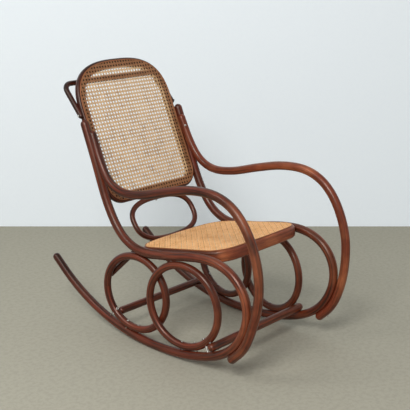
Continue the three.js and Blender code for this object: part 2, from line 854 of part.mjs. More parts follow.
const chair = new THREE.Group();
chair.add(body);

export default chair;
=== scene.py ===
"""Looks of a bentwood rocking chair with a caned back and seat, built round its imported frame."""

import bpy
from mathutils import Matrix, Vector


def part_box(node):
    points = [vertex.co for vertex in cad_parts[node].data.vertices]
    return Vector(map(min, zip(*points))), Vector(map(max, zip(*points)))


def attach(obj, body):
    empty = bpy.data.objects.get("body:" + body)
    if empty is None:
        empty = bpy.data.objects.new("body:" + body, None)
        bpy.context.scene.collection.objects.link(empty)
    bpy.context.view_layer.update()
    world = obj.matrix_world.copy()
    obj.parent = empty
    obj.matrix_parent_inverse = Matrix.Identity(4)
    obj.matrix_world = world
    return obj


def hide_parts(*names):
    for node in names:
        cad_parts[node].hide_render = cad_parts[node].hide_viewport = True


bl_info = {
    "name": "Bentwood Rocking Chair",
    "version": (1, 0, 0),
    "blender": (4, 5, 0),
    "location": "View3D > Sidebar > Rocking Chair",
    "description": "Bent rods, cane work, screws and studio of a bentwood rocking chair",
    "category": "Add Mesh",
}

import math

import bpy
import numpy as np
from bpy.props import FloatProperty, FloatVectorProperty, PointerProperty
from mathutils import Vector

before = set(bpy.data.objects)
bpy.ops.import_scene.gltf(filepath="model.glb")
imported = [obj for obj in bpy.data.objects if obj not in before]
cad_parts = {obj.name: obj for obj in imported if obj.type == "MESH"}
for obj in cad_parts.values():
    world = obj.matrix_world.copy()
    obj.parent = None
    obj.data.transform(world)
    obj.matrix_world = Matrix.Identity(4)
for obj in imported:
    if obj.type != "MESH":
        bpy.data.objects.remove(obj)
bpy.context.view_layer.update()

# Spans that the bent rods follow, and where the frame's origin lies in them, in metres
CHAIR_DEPTH = 1.080
CHAIR_HEIGHT = 1.010
FRAME_SHIFT = np.array([0.0, 0.0017, -0.0010])
RAIL_X, RAIL_RADIUS = 0.245, 0.016
GAP = 0.0003

# Side rail from the top of the post to the tail of the runner, as depth and height shares
RAIL_SHARE = [
    (0.294, 0.797), (0.239, 0.654), (0.188, 0.514), (0.132, 0.418), (0.080, 0.376),
    (0.016, 0.360), (-0.094, 0.372), (-0.225, 0.400), (-0.317, 0.404), (-0.389, 0.375),
    (-0.434, 0.318), (-0.445, 0.241), (-0.410, 0.146), (-0.345, 0.084), (-0.241, 0.041),
    (-0.106, 0.019), (0.029, 0.019), (0.158, 0.041), (0.278, 0.084), (0.392, 0.150),
    (0.491, 0.232),
]
POST_TOP, POST_FOOT, SEAT_REAR, SEAT_FRONT = 0, 3, 6, 7

# Arm from its top on the post towards its foot, as side, depth and height shares
ARM_SHIFT = 0.010
ARM_SHARE = [
    (-1.0, 0.267, 0.760), (-0.6, 0.226, 0.665), (-0.2, 0.185, 0.600), (0.0, 0.149, 0.573),
    (0.0, 0.100, 0.560), (0.0, 0.014, 0.569), (0.0, -0.108, 0.605), (0.0, -0.218, 0.631),
    (0.0, -0.314, 0.632), (0.0, -0.382, 0.604), (0.0, -0.438, 0.541), (0.0, -0.482, 0.426),
    (0.0, -0.487, 0.313),
]
ARM_FOOT_SHARE = (0.510, 0.542, 0.575)
ARM_FOOT_INLET, ARM_FOOT_SHIFT = 0.003, 0.005

# Where along a rail or an arm its taper ends, and over how many steps their lines are smoothed
RAIL_TAPER_SHARE, ARM_TAPER_SHARE = 0.82, 0.35
RAIL_SOFT, ARM_SOFT = 5, 4

# How closely lines are stepped, a rod's section, and its rounded ends up to a last small flat
BENT_STEP, FINE_STEP, THIN_STEP, BRACE_STEP, CROSS_STEP = 0.005, 0.002, 0.006, 0.01, 0.02
OUTLINE_STEP, STRAIGHT_STEPS, ARCH_STEPS, RING_STEPS, LOOP_STEPS = 0.004, 12, 80, 180, 400
ROD_SIDES, END_RINGS, END_FLAT_SHARE = 36, 8, 0.06

# Brace across each rear ring, its ends as shares of the ring's radius
BRACE_SHARE = [(1.05, 0.21), (0.12, 1.10)]

# Seat
SEAT_RISE, SEAT_DROP = 0.002, 0.004
SEAT_FRONT_REACH, SEAT_REAR_REACH = 0.1074 * CHAIR_DEPTH, 0.313 * CHAIR_DEPTH
SEAT_FRONT_BOW, SEAT_REAR_BOW = 0.012, 0.022
SEAT_FRONT_CORNER, SEAT_REAR_CORNER = 0.080, 0.090
SEAT_FRAME_WIDTH, SEAT_FRAME_HEIGHT = 0.030, 0.042
FRAME_ROUND = 0.009

# Back
BACK_HEIGHT, BACK_ARCH_SHARE, BACK_ARCH_EXPONENT = 0.553, 0.355, 2.8
BACK_ARCH_HEIGHT = BACK_ARCH_SHARE * BACK_HEIGHT
BACK_RISE, BACK_FOOT_SET, BACK_TOP_SET = 0.085, 0.010, 0.005
BACK_CORNER = 0.075
BACK_FRAME_WIDTH, BACK_FRAME_DEPTH = 0.038, 0.024
BACK_INLET, BACK_COVERED_DEPTH = 0.006, 0.001

# Lumbar loop and head hoop
LOOP_HALF_WIDTH, LOOP_EXPONENT, LOOP_FOOT_RISE, LOOP_HEAD_SHARE = 0.156, 2.64, 0.0145, 0.6
HOOP_INLET, HOOP_BEND, HOOP_BEND_EXPONENT, HOOP_BEND_STEPS = 0.007, 0.036, 2.2, 16
HOOP_END_RISE, HOOP_BAR_HEIGHT = 0.008, 0.886 * BACK_HEIGHT
HOOP_END_DEPTH, HOOP_BAR_DEPTH = 0.009, 0.057
# The cane's band of painted shade, in front of the head hoop's bar, lies this far below the bar
HOOP_SHADE_BAND_DROP = 0.011

# Cane: its edge on the frames, its spline, and its strands over and under each other
BACK_CANE_EDGE, SEAT_CANE_EDGE = 0.008, 0.006
SPLINE_WIDTH, SPLINE_HEIGHT, SPLINE_SUNK, SPLINE_ROUND = 0.004, 0.003, 0.0005, 0.0015
CANE_LIFT, STRAND_THICKNESS, STRAND_TOP_SHARE = 0.0016, 0.0007, 0.72
PAIR_SHARE, WEAVE_LIFT, DIAGONAL_LIFT_SHARE = 0.62, 0.00045, 2.4
# Painted shade on cane strands where wood keeps light from their back: the softness of its edge and
# the colour it darkens them by
PAINTED_SHADE_BLUR, PAINTED_SHADE_COLOUR = 0.004, (0.50, 0.35, 0.28, 1)
MIDDLE_TONE, TONE_SPREAD, TONE_DRIFT, DRIFT_KNOTS = 0.5, 0.2, 0.175, 6

# Screws: a direction that none has, from which their slots are turned, their point, and their
# shank, head, dome and slot as shares of the head's radius
OFF_AXIS = (0.3, 0.5, 0.8)
SCREW_SIDES, SCREW_POINT, DOME_STEPS = 20, 0.0002, 9
SHANK_SHARE, HEAD_SHARE, DOME_SHARE = 0.44, 0.68, 0.51
SLOT_WIDTH_SHARE, SLOT_DEPTH_SHARE, SLOT_REACH_SHARE = 0.16, 0.18, 0.4

# Photograph's camera
CAMERA_PLACE = (-2.290, -2.188, 1.401)
CAMERA_AZIMUTH, CAMERA_ELEVATION = 47.15, 16.06
FOCAL_PIXELS, PICTURE_PIXELS, SENSOR_MM = 880, 410, 36

# Patterns of the finishes, in millimetres, along the grain and across it where there are three
BEECH_STREAK_MM, BEECH_FLECK_MM, BEECH_CLOUD_MM = (200, 6.25, 6.25), (25, 10 / 7, 10 / 7), 142.857
REED_STREAK_MM, CANE_BLOTCH_MM = (45.4545, 10 / 7, 10 / 7), 38.4615
STEEL_SCUFF_MM, STAGE_SPOT_MM = 1.11111, 16.6667

# Where a pattern's colours change, their shades, and what its values or places become
STAIN_SPAN, WORN_SPAN, CANE_SPAN = (0.39, 0.66), (0.34, 0.62), (0.35, 0.85)
REED_SPAN, STEEL_SPAN, STAGE_SPAN = (0.3, 0.65), (0.35, 0.6), (0.40, 0.56)
WORN_SHADE, REED_SHADE, STEEL_SHADE = 0.45, 0.6, 0.45
STREAK_WEAR, STREAK_BUMP, SHEEN_TINT = 0.16, 0.0005, (1.0, 0.80, 0.68, 1)
FRONT_THINNED = {"From Min": -0.25, "From Max": -0.50, "To Min": 0.12, "To Max": 0.66}
PATCH_THINNED = {"From Min": 0.40, "From Max": 0.62, "To Min": 0.15, "To Max": 1.0}
PORE_SHADE = {"From Min": 0.30, "From Max": 0.46, "To Min": 0.60, "To Max": 1.0}
# Painted shade: the wood darkens towards the rear of the chair
REAR_PAINTED_SHADE = {"From Min": 0.32, "From Max": 0.46, "To Min": 1.0, "To Max": 0.55}
BEECH_GLOSS = {"From Min": 0.3, "From Max": 0.7, "To Min": 0.30, "To Max": 0.42}
STEEL_GLOSS = {"From Min": 0.3, "From Max": 0.7, "To Min": 0.3, "To Max": 0.55}

# Stage, and lamps as place, target, size and power
WALL_DISTANCE, WALL_HEIGHT, WALL_GLOW = 1.29, 5, 0.17
FLOOR_SPECKLE, WALL_SPECKLE = 0.10, 0.01
FLOOR_NEAR, FLOOR_BEHIND, STAGE_HALF_WIDTH = 9, 6, 7
LAMPS = {
    "key": ((-3.4, -1.9, 3.5), (0.3, 0.2, 0.7), 1.7, 150),
    "side": ((-2.4, 0.7, 2.9), (0, 0, 0.5), 0.8, 18),
}
WORLD_LIGHT, WORLD_STRENGTH = (0.90, 0.90, 0.92, 1), 0.50

ACROSS = np.array([1.0, 0.0, 0.0])
UPWARD = np.array([0.0, 0.0, 1.0])
HANDS = {"right": -1, "left": 1}

# How far the stain has worn, from 1 where it is thin to -1 where it is dark and untouched. The same
# values carry painted light: the left arm's value is partly a painted highlight, the head hoop's is
# painted shade, and the covered wood's is untouched stain and painted shade.
ARM_WEAR_AND_HIGHLIGHT = {"right": -0.10, "left": 0.6}
SEAT_FRAME_WEAR, BACK_FRAME_WEAR, HOOP_PAINTED_SHADE, COVERED_STAIN_AND_SHADE = 1.0, -0.3, -0.7, -1.0
SEAT_WORN_REACH, SEAT_WORN_FADE = 0.075, 0.02


def length_property(name, description, default, least):
    """A length in metres that the panel shows."""
    return FloatProperty(
        name=name, description=description, default=default, min=least, unit="LENGTH")


class ChairSizes(bpy.types.PropertyGroup):
    """Rod diameters and cane sizes"""

    rail_d: length_property("Side rail", "Diameter of the side rails", 0.032, 0.02)
    tail_d: length_property("Rail tail", "Diameter of the rail at its tail", 0.0305, 0.02)
    arm_d: length_property("Arm", "Diameter of the arms", 0.032, 0.02)
    arm_top_d: length_property("Arm top", "Diameter of an arm where it meets the post", 0.030, 0.02)
    front_ring_d: length_property("Front ring", "Diameter of the front rings' rod", 0.0275, 0.01)
    rear_ring_d: length_property("Rear ring", "Diameter of the rear rings' rod", 0.0275, 0.01)
    brace_d: length_property("Brace", "Diameter of the ring braces", 0.020, 0.01)
    front_stretcher_d: length_property(
        "Front stretcher", "Diameter of the front stretcher", 0.030, 0.01)
    rear_stretcher_d: length_property(
        "Rear stretcher", "Diameter of the rear stretcher", 0.029, 0.01)
    loop_d: length_property("Lumbar loop", "Diameter of the lumbar loop's rod", 0.020, 0.008)
    hoop_d: length_property("Head hoop", "Diameter of the head hoop's rod", 0.020, 0.008)
    cane_pitch_across: length_property("Pitch across", "Spacing of the cane across", 0.0138, 0.008)
    cane_pitch_along: length_property("Pitch along", "Spacing of the cane along", 0.0141, 0.008)
    strand_width: length_property("Back strand", "Width of the back's strands", 0.0023, 0.001)
    seat_strand_width: length_property("Seat strand", "Width of the seat's strands", 0.0028, 0.001)


def hex_colour(text):
    """Linear red, green and blue of an sRGB hex colour."""
    values = [int(text[i:i + 2], 16) / 255 for i in (1, 3, 5)]
    return tuple(v / 12.92 if v <= 0.04045 else ((v + 0.055) / 1.055) ** 2.4 for v in values)


def colour_property(name, description, text):
    """A colour that the panel shows, from its sRGB hex value."""
    return FloatVectorProperty(
        name=name, description=description, default=hex_colour(text), subtype="COLOR", size=3,
        min=0, max=1)


class ChairColours(bpy.types.PropertyGroup):
    """Colours of the finishes"""

    stain: colour_property("Stain", "Red-brown stain on the bent beech", "#6E2A18")
    stain_dark: colour_property("Dark stain", "Stain where it lies thick in the grain", "#240C07")
    worn: colour_property("Worn stain", "Warmer wood where hands have thinned the stain", "#AA603C")
    cane: colour_property("Back cane", "Strands of the back's cane", "#DAB689")
    cane_dark: colour_property("Dark back cane", "Darker strands of the back", "#AC855A")
    seat_cane: colour_property("Seat cane", "Strands of the seat's cane", "#F0BC80")
    seat_cane_dark: colour_property("Dark seat cane", "Darker strands of the seat", "#D89C5A")
    edge_cane: colour_property("Spline", "Cane spline round the weave", "#A05F33")
    steel: colour_property("Steel", "Screws and bolts", "#CFCBC4")
    floor: colour_property("Floor", "Pale floor", "#A9A594")
    wall: colour_property("Wall", "Pale wall behind the chair", "#E3EAEE")


# Curves

def spline_through(places, per_span=24):
    """A centripetal Catmull-Rom curve through the places: each span is a cubic whose end
    slopes come from its neighbours, weighted by the square root of the distances."""
    places = np.asarray(places, float)
    padded = np.vstack([2 * places[0] - places[1], places, 2 * places[-1] - places[-2]])
    before, start, end, after = padded[:-3], padded[1:-2], padded[2:-1], padded[3:]
    d0, d1, d2 = (np.sqrt(np.linalg.norm(b - a, axis=1))[:, None] for a, b in (
        (before, start), (start, end), (end, after)))
    slope_in = d1 * ((start - before) / d0 - (end - before) / (d0 + d1) + (end - start) / d1)
    slope_out = d1 * ((end - start) / d1 - (after - start) / (d1 + d2) + (after - end) / d2)
    t = np.linspace(0, 1, per_span, endpoint=False)[None, :, None]
    a, b, s, e = (v[:, None, :] for v in (start, end, slope_in, slope_out))
    points = a + s * t + (3 * (b - a) - 2 * s - e) * t ** 2 + (2 * (a - b) + s + e) * t ** 3
    return np.vstack([points.reshape(-1, 3), places[-1:]])


def lengths_along(points):
    """Distance along a line of points, from its first to each."""
    return np.concatenate([[0], np.cumsum(np.linalg.norm(np.diff(points, axis=0), axis=1))])


def even_steps(points, step):
    """The same line with its points evenly spaced, about one step apart."""
    run = lengths_along(points)
    count = max(int(round(run[-1] / step)), 2)
    at = np.linspace(0, run[-1], count + 1)
    return np.column_stack([np.interp(at, run, column) for column in points.T])


def softened(points, width):
    """The line averaged along itself with a bell of the given width in points, its ends kept."""
    reach = 3 * width
    bell = np.exp(-0.5 * (np.arange(-reach, reach + 1) / width) ** 2)
    bell /= bell.sum()
    head = 2 * points[0] - points[reach:0:-1]
    tail = 2 * points[-1] - points[-2:-reach - 2:-1]
    padded = np.vstack([head, points, tail])
    return np.column_stack([np.convolve(column, bell, "valid") for column in padded.T])


def unit(vector):
    """The direction of a vector."""
    return np.asarray(vector, float) / np.linalg.norm(vector)


def rail_place(index):
    """A place on the side rail's centreline, in the chair's middle plane."""
    depth, height = RAIL_SHARE[index]
    return np.array([0, depth * CHAIR_DEPTH, height * CHAIR_HEIGHT]) + FRAME_SHIFT


def rail_curve(side, step):
    """A curve through the side rail's places, in a plane at the side's distance from the middle."""
    places = [rail_place(i) + side * RAIL_X * ACROSS for i in range(len(RAIL_SHARE))]
    return even_steps(spline_through(places), step)


def rail_line(side):
    """Centreline of a side rail."""
    return softened(rail_curve(side, BENT_STEP), RAIL_SOFT)


def arm_line(side, sizes):
    """Centreline of an arm: through its places, then along the front of the rail to its foot."""
    spans = np.array([side, CHAIR_DEPTH, CHAIR_HEIGHT])
    places = [
        np.array([RAIL_X + shift * ARM_SHIFT, depth, height]) * spans + FRAME_SHIFT
        for shift, depth, height in ARM_SHARE]
    rail = rail_curve(side, FINE_STEP)
    reach = (sizes.rail_d + sizes.arm_d) / 2 - ARM_FOOT_INLET
    for share in ARM_FOOT_SHARE:
        at = int(round(share * (len(rail) - 1)))
        along = unit(rail[at + 1] - rail[at - 1])
        outward = unit([0, along[2], -along[1]])
        outward *= -np.sign(outward[1])
        places.append(rail[at] + reach * outward + side * ARM_FOOT_SHIFT * ACROSS)
    return softened(even_steps(spline_through(places), BENT_STEP), ARM_SOFT)


# The seat's and the back's planes, each as origin, sideways, along and out of the surface

def seat_plane():
    """The plane through the middle of the seat's frame, which runs towards the back."""
    origin = rail_place(SEAT_FRONT) - SEAT_DROP * UPWARD
    along = unit(rail_place(SEAT_REAR) + (SEAT_RISE - SEAT_DROP) * UPWARD - origin)
    return origin, ACROSS, along, np.cross(ACROSS, along)


def post_ends():
    """Foot and top of the line that the back leans along."""
    foot = rail_place(POST_FOOT) + np.array([0, BACK_FOOT_SET, 0])
    return foot, rail_place(POST_TOP) + np.array([0, BACK_TOP_SET, 0])


def back_plane():
    """The plane of the back's front face, which runs up from the back's lower edge."""
    foot, top = post_ends()
    along = unit(top - foot)
    return foot + BACK_RISE * along, ACROSS, along, np.cross(ACROSS, along)


def in_plane(plane, x, along, out):
    """Points at x across, so far along and so far out of a plane."""
    origin, *ways = plane
    return origin + np.stack(np.broadcast_arrays(x, along, out), -1) @ np.array(ways)


def corner_arc(centre, radii, exponent, start, end, steps=24):
    """Superellipse arc: cosine and sine raised to two over the exponent, 2 for a circle."""
    angle = np.linspace(start, end, steps + 1)
    c, s = np.cos(angle), np.sin(angle)
    x = centre[0] + radii[0] * np.sign(c) * np.abs(c) ** (2 / exponent)
    y = centre[1] + radii[1] * np.sign(s) * np.abs(s) ** (2 / exponent)
    return np.column_stack([x, y])


def straight_run(start, end, along):
    """Points across the plane from a start to an end, at one place along it."""
    return np.linspace([start, along], [end, along], STRAIGHT_STEPS)


def quarter_round(x, along, radius, turns, steps=24):
    """A quarter circle that begins after so many quarter turns."""
    start = turns * math.pi / 2
    return corner_arc((x, along), (radius, radius), 2, start, start + math.pi / 2, steps)


def closed_outline(right_half):
    """A right half with its mirror image, as one closed line of even steps."""
    left_half = right_half[::-1] * [-1, 1]
    ring = np.vstack([right_half, left_half, right_half[:1]])
    return even_steps(ring, OUTLINE_STEP)[:-1]


def seat_outline(inset=0.0):
    """The seat's outline: straight runs and quarter circles, then bowed lengthwise by the square of
    the distance from the middle and the cube of the distance from the seat's centre."""
    half = RAIL_X - RAIL_RADIUS - GAP - inset
    front_round, rear_round = SEAT_FRONT_CORNER - inset, SEAT_REAR_CORNER - inset
    front, rear = inset - SEAT_FRONT_REACH, SEAT_REAR_REACH - inset
    points = np.vstack([
        straight_run(0, half - front_round, front),
        quarter_round(half - front_round, front + front_round, front_round, -1),
        quarter_round(half - rear_round, rear - rear_round, rear_round, 0),
        straight_run(half - rear_round, 0, rear)])
    share = (points[:, 1] - (front + rear) / 2) / ((rear - front) / 2)
    bow = np.where(share < 0, SEAT_FRONT_BOW, SEAT_REAR_BOW)
    points[:, 1] -= np.sign(share) * bow * (points[:, 0] / half) ** 2 * np.abs(share) ** 3
    return closed_outline(points)


def back_half():
    """Half the back's width: its frame is let into the posts a little."""
    return RAIL_X - RAIL_RADIUS + BACK_INLET


def back_outline(inset=0.0):
    """The back's outline: a straight foot, quarter circles and a superellipse arch."""
    half, corner = back_half() - inset, BACK_CORNER - inset
    points = np.vstack([
        straight_run(0, half - corner, inset),
        quarter_round(half - corner, inset + corner, corner, -1),
        corner_arc((0, BACK_HEIGHT - BACK_ARCH_HEIGHT), (half, BACK_ARCH_HEIGHT - inset),
                   BACK_ARCH_EXPONENT, 0, math.pi / 2, ARCH_STEPS)])
    return closed_outline(points)


# Meshes

def linked_object(name, data, place=(0, 0, 0), turn=(0, 0, 0)):
    """An object of some data in the scene, at a place and turned."""
    made = bpy.data.objects.new(name, data)
    made.location, made.rotation_euler = place, turn
    bpy.context.scene.collection.objects.link(made)
    return made


def finish_piece(name, vertices, faces, nodes, material, grain=None, traits=None,
                 smooth=True):
    """A mesh object that rides on the chair and stands for its nodes. The grain is a place along
    and across the wood, and the traits are named values, both one for each vertex."""
    vertices = vertices.reshape(-1, 3)
    mesh = bpy.data.meshes.new(name)
    mesh.from_pydata(vertices.tolist(), [], faces if isinstance(faces, list) else faces.tolist())
    if grain is not None:
        attribute = mesh.attributes.new("grain", "FLOAT_VECTOR", "POINT")
        attribute.data.foreach_set("vector", np.asarray(grain, np.float32).ravel())
    for key, values in (traits or {}).items():
        attribute = mesh.attributes.new(key, "FLOAT", "POINT")
        each = np.broadcast_to(values, len(vertices))
        attribute.data.foreach_set("value", np.ascontiguousarray(each, np.float32))
    mesh.polygons.foreach_set("use_smooth", np.full(len(mesh.polygons), smooth))
    mesh.materials.append(material)
    mesh.update()
    piece = linked_object(name, mesh)
    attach(piece, "root")
    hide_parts(*nodes)


def grid_faces(rows, columns, closed_rows):
    """Quads of a grid whose columns close on themselves, and whose rows may."""
    last = rows if closed_rows else rows - 1
    i, j = np.meshgrid(np.arange(last), np.arange(columns), indexing="ij")
    i2, j2 = (i + 1) % rows, (j + 1) % columns
    quads = np.stack([i * columns + j, i2 * columns + j, i2 * columns + j2, i * columns + j2], -1)
    return quads.reshape(-1, 4)


def rod_frames(points, flat, closed):
    """Along, normal and flat directions at each point of a rod near the plane square to flat."""
    if closed:
        along = np.roll(points, -1, 0) - np.roll(points, 1, 0)
    else:
        along = np.gradient(points, axis=0)
    along /= np.linalg.norm(along, axis=1)[:, None]
    side = flat - (along @ flat)[:, None] * along
    side /= np.linalg.norm(side, axis=1)[:, None]
    return along, np.cross(side, along), side


def rod_piece(name, points, radii, flat, nodes, closed=False, seed=0.0, wear_and_painted_light=0.0):
    """A round beech rod along a line: at each point a circle of the local radius, square to the
    line. An open rod gets rounded ends, as quarter circles that close on a small flat."""
    radii = np.broadcast_to(radii, len(points)).astype(float)
    along, normal, side = rod_frames(points, unit(flat), closed)
    run = lengths_along(points)
    if not closed:
        keep = (run > radii[0]) & (run < run[-1] - radii[-1])
        keep[[0, -1]] = True
        points, radii, run, along, normal, side = (
            v[keep] for v in (points, radii, run, along, normal, side))
        turn = np.linspace(0, math.pi / 2, END_RINGS + 1)
        shrink = np.maximum(np.cos(turn), END_FLAT_SHARE)
        head, tail = radii[0] * (1 - np.sin(turn[::-1])), radii[-1] * (1 - np.sin(turn))
        points = np.vstack([
            points[0] + head[:, None] * along[0], points[1:-1],
            points[-1] - tail[:, None] * along[-1]])
        run = np.concatenate([head, run[1:-1], run[-1] - tail])
        radii = np.concatenate([radii[0] * shrink[::-1], radii[1:-1], radii[-1] * shrink])
        normal, side = (
            np.vstack([v[:1]] * END_RINGS + [v] + [v[-1:]] * END_RINGS) for v in (normal, side))
    angle = np.arange(ROD_SIDES) * 2 * math.pi / ROD_SIDES
    x, y = radii[:, None] * np.cos(angle), radii[:, None] * np.sin(angle)
    vertices = points[:, None] + x[..., None] * normal[:, None] + y[..., None] * side[:, None]
    grain = np.stack(np.broadcast_arrays(run[:, None] + seed, x + seed, y), -1)
    faces = grid_faces(len(points), ROD_SIDES, closed).tolist()
    if not closed:
        count = len(points) * ROD_SIDES
        faces += [list(range(ROD_SIDES)), list(range(count - 1, count - ROD_SIDES - 1, -1))]
    finish_piece(
        name, vertices, faces, nodes, finish("stained_beech"), grain, {"wear_and_painted_light": wear_and_painted_light})


def framed_ring(name, outline, plane, section, nodes, material, seed=0.0, wear_and_painted_light=0.0):
    """A section carried round a closed outline: its first value goes inward from the outline,
    its second out of the plane."""
    along = np.roll(outline, -1, 0) - np.roll(outline, 1, 0)
    along /= np.linalg.norm(along, axis=1)[:, None]
    inward = np.column_stack([-along[:, 1], along[:, 0]])
    depth, out = section.T
    x, y = np.moveaxis(outline[:, None] + inward[:, None] * section[:, :1], -1, 0)
    vertices = in_plane(plane, x, y, out)
    run = lengths_along(outline)[:, None]
    grain = np.stack(np.broadcast_arrays(run + seed, depth, out + seed), -1)
    faces = grid_faces(len(outline), len(section), True)[:, ::-1]
    finish_piece(name, vertices, faces, nodes, material, grain, {"wear_and_painted_light": wear_and_painted_light})


def round_section(inward, out, radius, steps=6):
    """Closed outline of a rectangle with round corners, between the two values each way."""
    centres = [(inward[1] - radius, out[0] + radius), (inward[1] - radius, out[1] - radius),
               (inward[0] + radius, out[1] - radius), (inward[0] + radius, out[0] + radius)]
    return np.vstack([
        quarter_round(*centre, radius, k - 1, steps) for k, centre in enumerate(centres)])


def crossing_span(outline, start, direction):
    """First and last distance at which a straight line, from a start along a direction, crosses a
    closed convex outline: from the sign changes of each point's side of the line."""
    normal = np.array([-direction[1], direction[0]])
    offset = (outline - start) @ normal
    after = np.roll(offset, -1)
    hits = np.nonzero((offset < 0) != (after < 0))[0]
    if len(hits) < 2:
        return None
    share = offset[hits] / (offset[hits] - after[hits])
    reach = (outline - start) @ direction
    distance = reach[hits] + share * (np.roll(reach, -1)[hits] - reach[hits])
    return distance.min(), distance.max()


def weave_strands(pitch, pair, columns, rows):
    """Four families of strands: straight pairs both ways, and single diagonals both ways halfway
    between the pairs' crossings, which leaves eight-sided openings. A straight strand passes over
    one strand of each pair it meets and under the other. A diagonal rises and falls as a cosine.
    Each has a start, a direction, and the places where its height is set with those heights."""
    across, along = pitch
    cells = columns + rows + 1
    cell, quarter = np.arange(-cells, cells + 1), np.arange(-4 * cells, 4 * cells + 1)
    strands = []
    for most, own, other, way in ((columns, across, along, (0, 1)), (rows, along, across, (1, 0))):
        places = np.column_stack([cell * other - pair, cell * other + pair]).ravel()
        for k in range(-most, most + 1):
            for twin in (-1, 1):
                rise = np.cos(math.pi * (cell + k + (twin > 0))) * (way[1] - way[0]) * WEAVE_LIFT
                start = (own * k + twin * pair) * np.array(way[::-1])
                strands.append((
                    start, np.array(way), places, np.column_stack([rise, -rise]).ravel()))
    period = math.hypot(across, along)
    rise = DIAGONAL_LIFT_SHARE * WEAVE_LIFT * np.cos(quarter * math.pi / 2)
    for k in range(-columns - rows, columns + rows + 1):
        start = np.array([(k + 0.5) * across, 0])
        strands += [
            (start, np.array([way * across, along]) / period, quarter * period / 4, way * rise)
            for way in (-1, 1)]
    return strands


def strand_mesh(start, direction, span, places, heights, width):
    """One flat strand: a rectangular section, narrower on top, carried along a straight line
    through places at their heights."""
    inside = (places > span[0] + width) & (places < span[1] - width)
    s = np.concatenate([span[:1], places[inside], span[1:]])
    lifts = np.interp(s, places, heights)
    normal = np.array([-direction[1], direction[0]])
    top = STRAND_TOP_SHARE / 2
    corners = np.array([(-0.5, -0.5), (0.5, -0.5), (top, 0.5), (-top, 0.5)])
    flat = (start + s[:, None] * direction)[:, None] + corners[:, :1] * width * normal
    up = lifts[:, None] + corners[:, 1] * STRAND_THICKNESS
    points = np.concatenate([flat, up[..., None]], -1).reshape(-1, 3)
    ends = np.array([np.arange(4), len(points) - 1 - np.arange(4)])
    return points, np.vstack([grid_faces(len(s), 4, False)[:, ::-1], ends])


def cane_panel(name, outline, plane, lift, nodes, sizes, width, material, seed,
               wood_reach=0.0, bar=(-1.0, 0.0)):
    """Six-way cane inside an outline. Its trait of painted shade is 1 where wood keeps light from
    its back, so the strands are painted darker there: within the reach of the edge, and in front of
    a bar of some height and half width."""
    pitch = (sizes.cane_pitch_across, sizes.cane_pitch_along)
    low, high = outline.min(0), outline.max(0)
    middle = (low + high) / 2
    shape = outline - middle
    columns, rows = (int(r / p) + 1 for r, p in zip((high - low) / 2, pitch))
    random = np.random.default_rng(seed)
    vertices, quads, tones, painted_shades, base = [], [], [], [], 0
    for start, direction, *knots in weave_strands(pitch, PAIR_SHARE * width, columns, rows):
        span = crossing_span(shape, start, direction)
        if span is None or span[1] - span[0] < pitch[0] / 2:
            continue
        points, faces = strand_mesh(start, direction, span, *knots, width)
        vertices.append(points)
        quads.append(faces + base)
        drift = np.interp(
            np.arange(len(points)), np.linspace(0, len(points), DRIFT_KNOTS),
            random.normal(0, TONE_DRIFT, DRIFT_KNOTS))
        tones.append(np.clip(MIDDLE_TONE + random.normal(0, TONE_SPREAD) + drift, 0, 1))
        # Painted shade reaches strands near the frame's edge and in front of the bar
        edge = np.linalg.norm(points[:, None, :2] - shape[None], axis=2).min(1)
        beside = np.minimum(edge - wood_reach, np.abs(points[:, 1] + middle[1] - bar[0]) - bar[1])
        painted_shades.append(np.clip(0.5 - beside / PAINTED_SHADE_BLUR, 0, 1))
        base += len(points)
    world = in_plane(plane, *(np.vstack(vertices) + [*middle, lift]).T)
    traits = {"tone": np.concatenate(tones), "painted_shade": np.concatenate(painted_shades)}
    finish_piece(
        name, world, np.vstack(quads), nodes, material, traits=traits, smooth=False)


# Materials

def set_inputs(node, inputs):
    """Sets a node's inputs to values, or links them from other nodes' outputs."""
    for key, value in inputs.items():
        if isinstance(value, bpy.types.NodeSocket):
            node.id_data.links.new(value, node.inputs[key])
        else:
            node.inputs[key].default_value = value


def add_node(tree, kind, inputs=None, stops=(), **properties):
    """One node with its properties, its ramp's stops as positions and colours, and its inputs."""
    node = tree.nodes.new(kind)
    for key, value in properties.items():
        setattr(node, key, value)
    for index, (position, colour) in enumerate(stops):
        element = node.color_ramp.elements[index]
        element.position, element.color = position, (*colour, 1)
    set_inputs(node, inputs or {})
    return node


def per_metre(size):
    """A pattern's scale, or one for each direction, from its size in millimetres."""
    return tuple(1000 / v for v in size) if isinstance(size, tuple) else 1000 / size


def shaded(colour, share):
    """A colour darkened to a share of itself."""
    return [share * v for v in colour]


def new_material(name):
    """A node material, its tree and its shader."""
    material = bpy.data.materials.new(name)
    material.use_nodes = True
    tree = material.node_tree
    tree.nodes.clear()
    shader = add_node(tree, "ShaderNodeBsdfPrincipled")
    add_node(tree, "ShaderNodeOutputMaterial", {"Surface": shader.outputs[0]})
    return material, tree, shader


